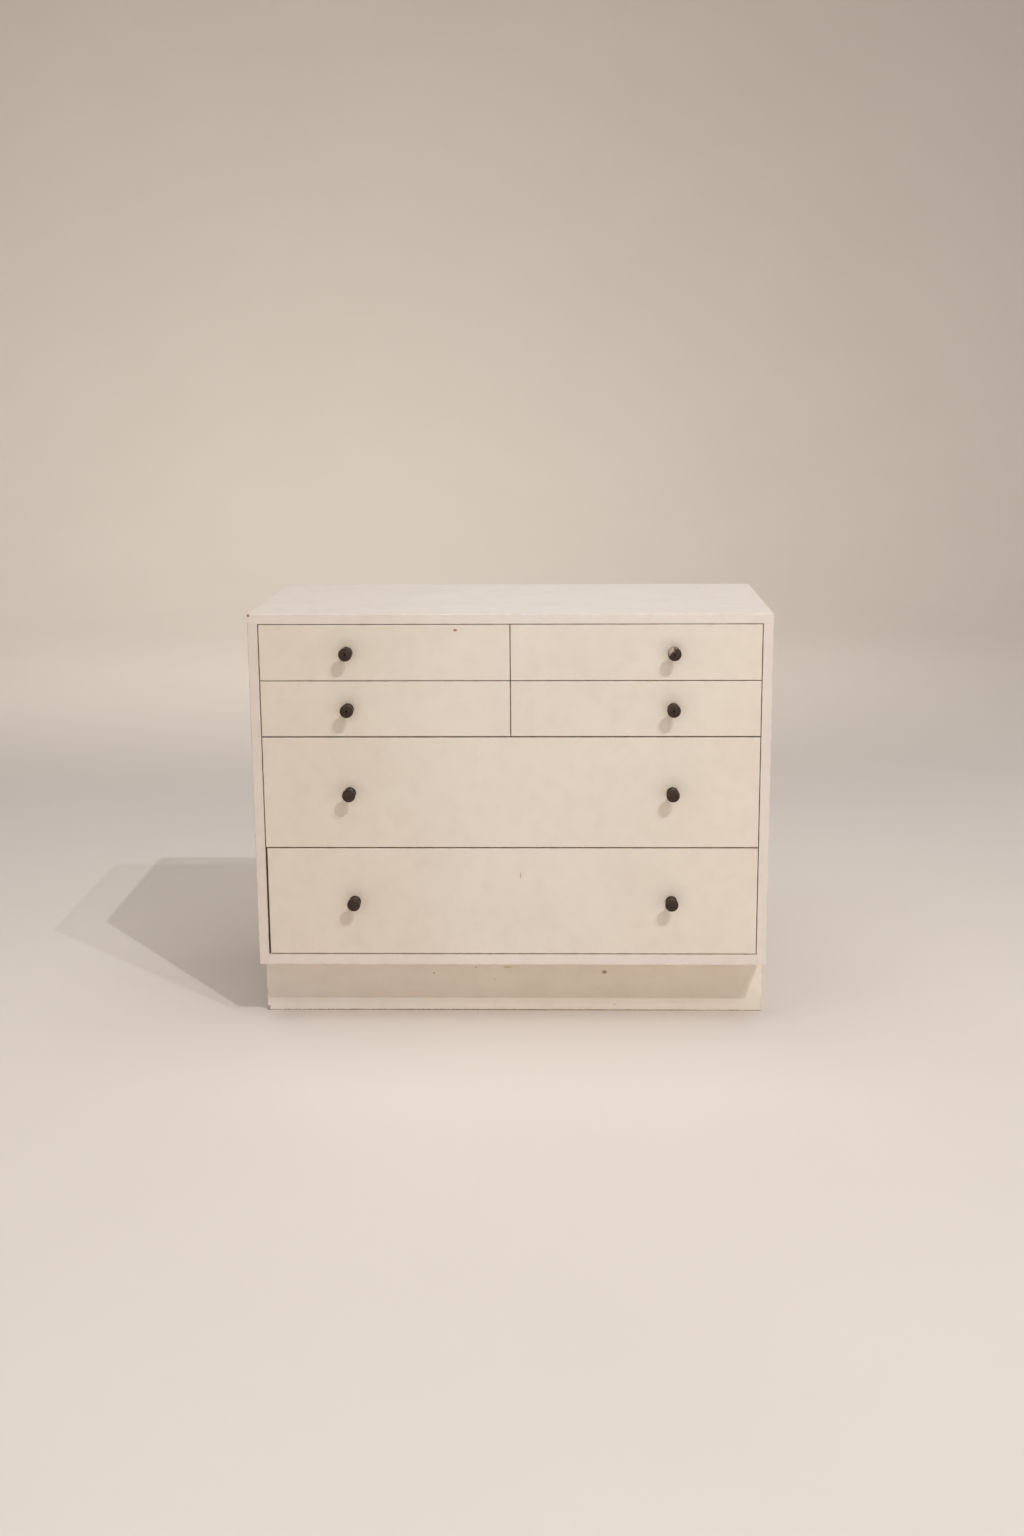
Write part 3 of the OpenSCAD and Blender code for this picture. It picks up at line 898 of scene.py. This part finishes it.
@dataclass(frozen=True)
class Camera:
    """A camera in front of the chest, a little to the right, that looks down on it.

    Its place is in widths of the chest, and its angles are in radians.
    """

    right: float = 0.1179
    before: float = 3.4297
    above: float = 1.2542
    yaw: float = 0.0170
    pitch: float = 0.2124
    roll: float = -0.0038
    lens: float = 42.65
    shift: tuple[float, float] = (-0.0194, 0.0008)

    def stand(self, width: float, front: float) -> None:
        """Sets the camera up.

        Args:
            width: The chest's width.
            front: Where its front stands.
        """
        data = bpy.data.cameras.new("camera")
        data.sensor_fit, data.sensor_width, data.lens = "AUTO", 36.0, self.lens
        data.shift_x, data.shift_y = self.shift
        level = math.cos(self.pitch)
        aside, onward = math.sin(self.yaw), math.cos(self.yaw)
        ahead = Vector((-aside * level, onward * level, -math.sin(self.pitch)))
        right = Vector((onward, aside, 0))
        upright = Matrix((right, right.cross(ahead), -ahead)).transposed()
        turn = (upright @ Matrix.Rotation(self.roll, 3, "Z")).to_4x4()
        place = Vector((self.right * width, front - self.before * width, self.above * width))
        camera = bpy.data.objects.new("camera", data)
        camera.matrix_world = Matrix.Translation(place) @ turn
        bpy.context.scene.collection.objects.link(camera)
        bpy.context.scene.camera = camera


@dataclass
class Studio:
    """A pale seamless floor that turns up into a wall all round, two small lamps and softboxes."""

    floor_radius: float = 5.2
    cove: float = 4.6
    wall: float = 2.0
    floor_colour: str = "#dfd4ca"
    glow: float = 0.02
    camera: Camera = Camera()

    def build(self, whole: Box) -> None:
        """Makes the stage, the light and the camera.

        Args:
            whole: The chest's place.
        """
        width, front = whole.size.x, Box.of("top_panel").low.y
        self._stage()
        self._light(width, front)
        self.camera.stand(width, front)

    def _stage(self) -> None:
        """Makes the floor by extruding a disc's rim outwards and up round the cove."""
        bpy.ops.object.select_all(action="DESELECT")
        bpy.ops.mesh.primitive_circle_add(vertices=96, radius=self.floor_radius, fill_type="NGON")
        stage = bpy.context.object
        stage.name = "pale_floor"
        bpy.ops.object.mode_set(mode="EDIT")
        bpy.ops.mesh.select_mode(type="EDGE")
        bpy.ops.mesh.select_all(action="SELECT")
        radius, height = self.floor_radius, 0.0
        turns = [math.radians(6 * i) for i in range(1, 16)]
        steps = [(self.cove * math.sin(a), self.cove * (1 - math.cos(a))) for a in turns]
        steps.append((self.cove, self.cove + self.wall))
        for out, up in steps:
            share = (self.floor_radius + out) / radius
            bpy.ops.mesh.extrude_edges_move(TRANSFORM_OT_translate={"value": (0, 0, up - height)})
            bpy.ops.transform.resize(value=(share, share, 1), center_override=(0, 0, up))
            radius, height = self.floor_radius + out, up
        bpy.ops.object.mode_set(mode="OBJECT")
        bpy.ops.object.shade_smooth()
        recipe = Recipe("matt_backdrop_paint")
        cloud = recipe.between(recipe.grain(700, 3.0), 0.3, 0.7)
        faint = recipe.maths("MULTIPLY", cloud, 0.05)
        tone = recipe.layer(faint, linear(self.floor_colour), linear("#b9ad9f"))
        recipe.finish(tone, 0.85, recipe.grain(6, 3.0), 0.05)
        stage.data.materials.append(recipe.material)
        stage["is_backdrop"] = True

    def _light(self, width: float, front: float) -> None:
        """Hangs the lamps and the softboxes, and lets an even glow in from above.

        Args:
            width: The chest's width.
            front: Where its front stands.
        """
        cool, warm = "#f5f9ff", "#fffcf4"
        nearer = (2.7 * width, front - 4.5 * width, 6.2 * width)
        farther = (3.4 * width, front - 4.05 * width, 6.2 * width)
        Lamp("nearer_lamp", nearer, 600, colour=cool).hang()
        Lamp("farther_lamp", farther, 275, colour=cool).hang()
        Softbox("left_softbox", (-4.5, -2.5, 3.5), (0, 0, 0.4), (3, 3), 17).hang()
        Softbox("low_softbox", (0.3, -4.2, 0.7), (0, -0.2, 0.1), (2.4, 0.6), 8).hang()
        Softbox("overhead_softbox", (0, -0.5, 5.6), (0, -0.4, 0), (5, 5), 203).hang()
        Softbox("backdrop_softbox", (-0.8, 1.0, 4.8), (-0.8, 7.2, 0.4), (2, 1), 66, 90, warm).hang()
        Softbox("wall_softbox", (-3.0, 0.5, 5.0), (-1.5, 8.5, 2.0), (2, 1), 21, 90, warm).hang()
        world = bpy.data.worlds.new("even_glow")
        world.use_nodes = True
        sky = world.node_tree.nodes["Background"]
        sky.inputs["Color"].default_value = linear("#fffcf4")
        sky.inputs["Strength"].default_value = self.glow
        bpy.context.scene.world = world
        bpy.context.scene.view_settings.view_transform = "Standard"


def drawers() -> list[Drawer]:
    """Lists the drawers with the marks that their fronts carry.

    Returns:
        The drawers from the top row down, left before right.
    """
    top, bottom = Box.of("top_left_drawer_front"), Box.of("bottom_drawer_front")
    chip = Mark(top.low.x + 0.343, top.high.z - 9.3 * MM, 7, 4.5, "#9c5238", 0.85)
    scratch = Mark(bottom.centre.x + 0.015, bottom.high.z - 49 * MM, 2.2, 12, "#a98d6c", 0.7)
    return [
        Drawer("top_left", (chip,)),
        Drawer("top_right", pale_flecks=0.85),
        Drawer("second_left"),
        Drawer("second_right"),
        Drawer("third"),
        Drawer("bottom", (scratch,)),
    ]


def main() -> None:
    """Loads the frame, dresses the chest and sets the studio."""
    logging.basicConfig(level=logging.INFO)
    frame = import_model()
    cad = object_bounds()
    NODES.update(frame["nodes"])
    whole = Box(*cad)
    Case().build()
    Plinth().build()
    sides = BIRCH.material(Axis.DEEP)
    finishes = {
        "left_side": sides,
        "right_side": sides,
        "back": BIRCH.material(Axis.ACROSS),
        "bottom": BIRCH_PLY.panel(Axis.ACROSS, Axis.UP),
        "muntin": PINE.material(Axis.DEEP),
    }
    for drawer in drawers():
        drawer.build(finishes)
    dress("back_screws", SCREW_METAL.material())
    Studio().build(whole)


if __name__ == "__main__":
    main()
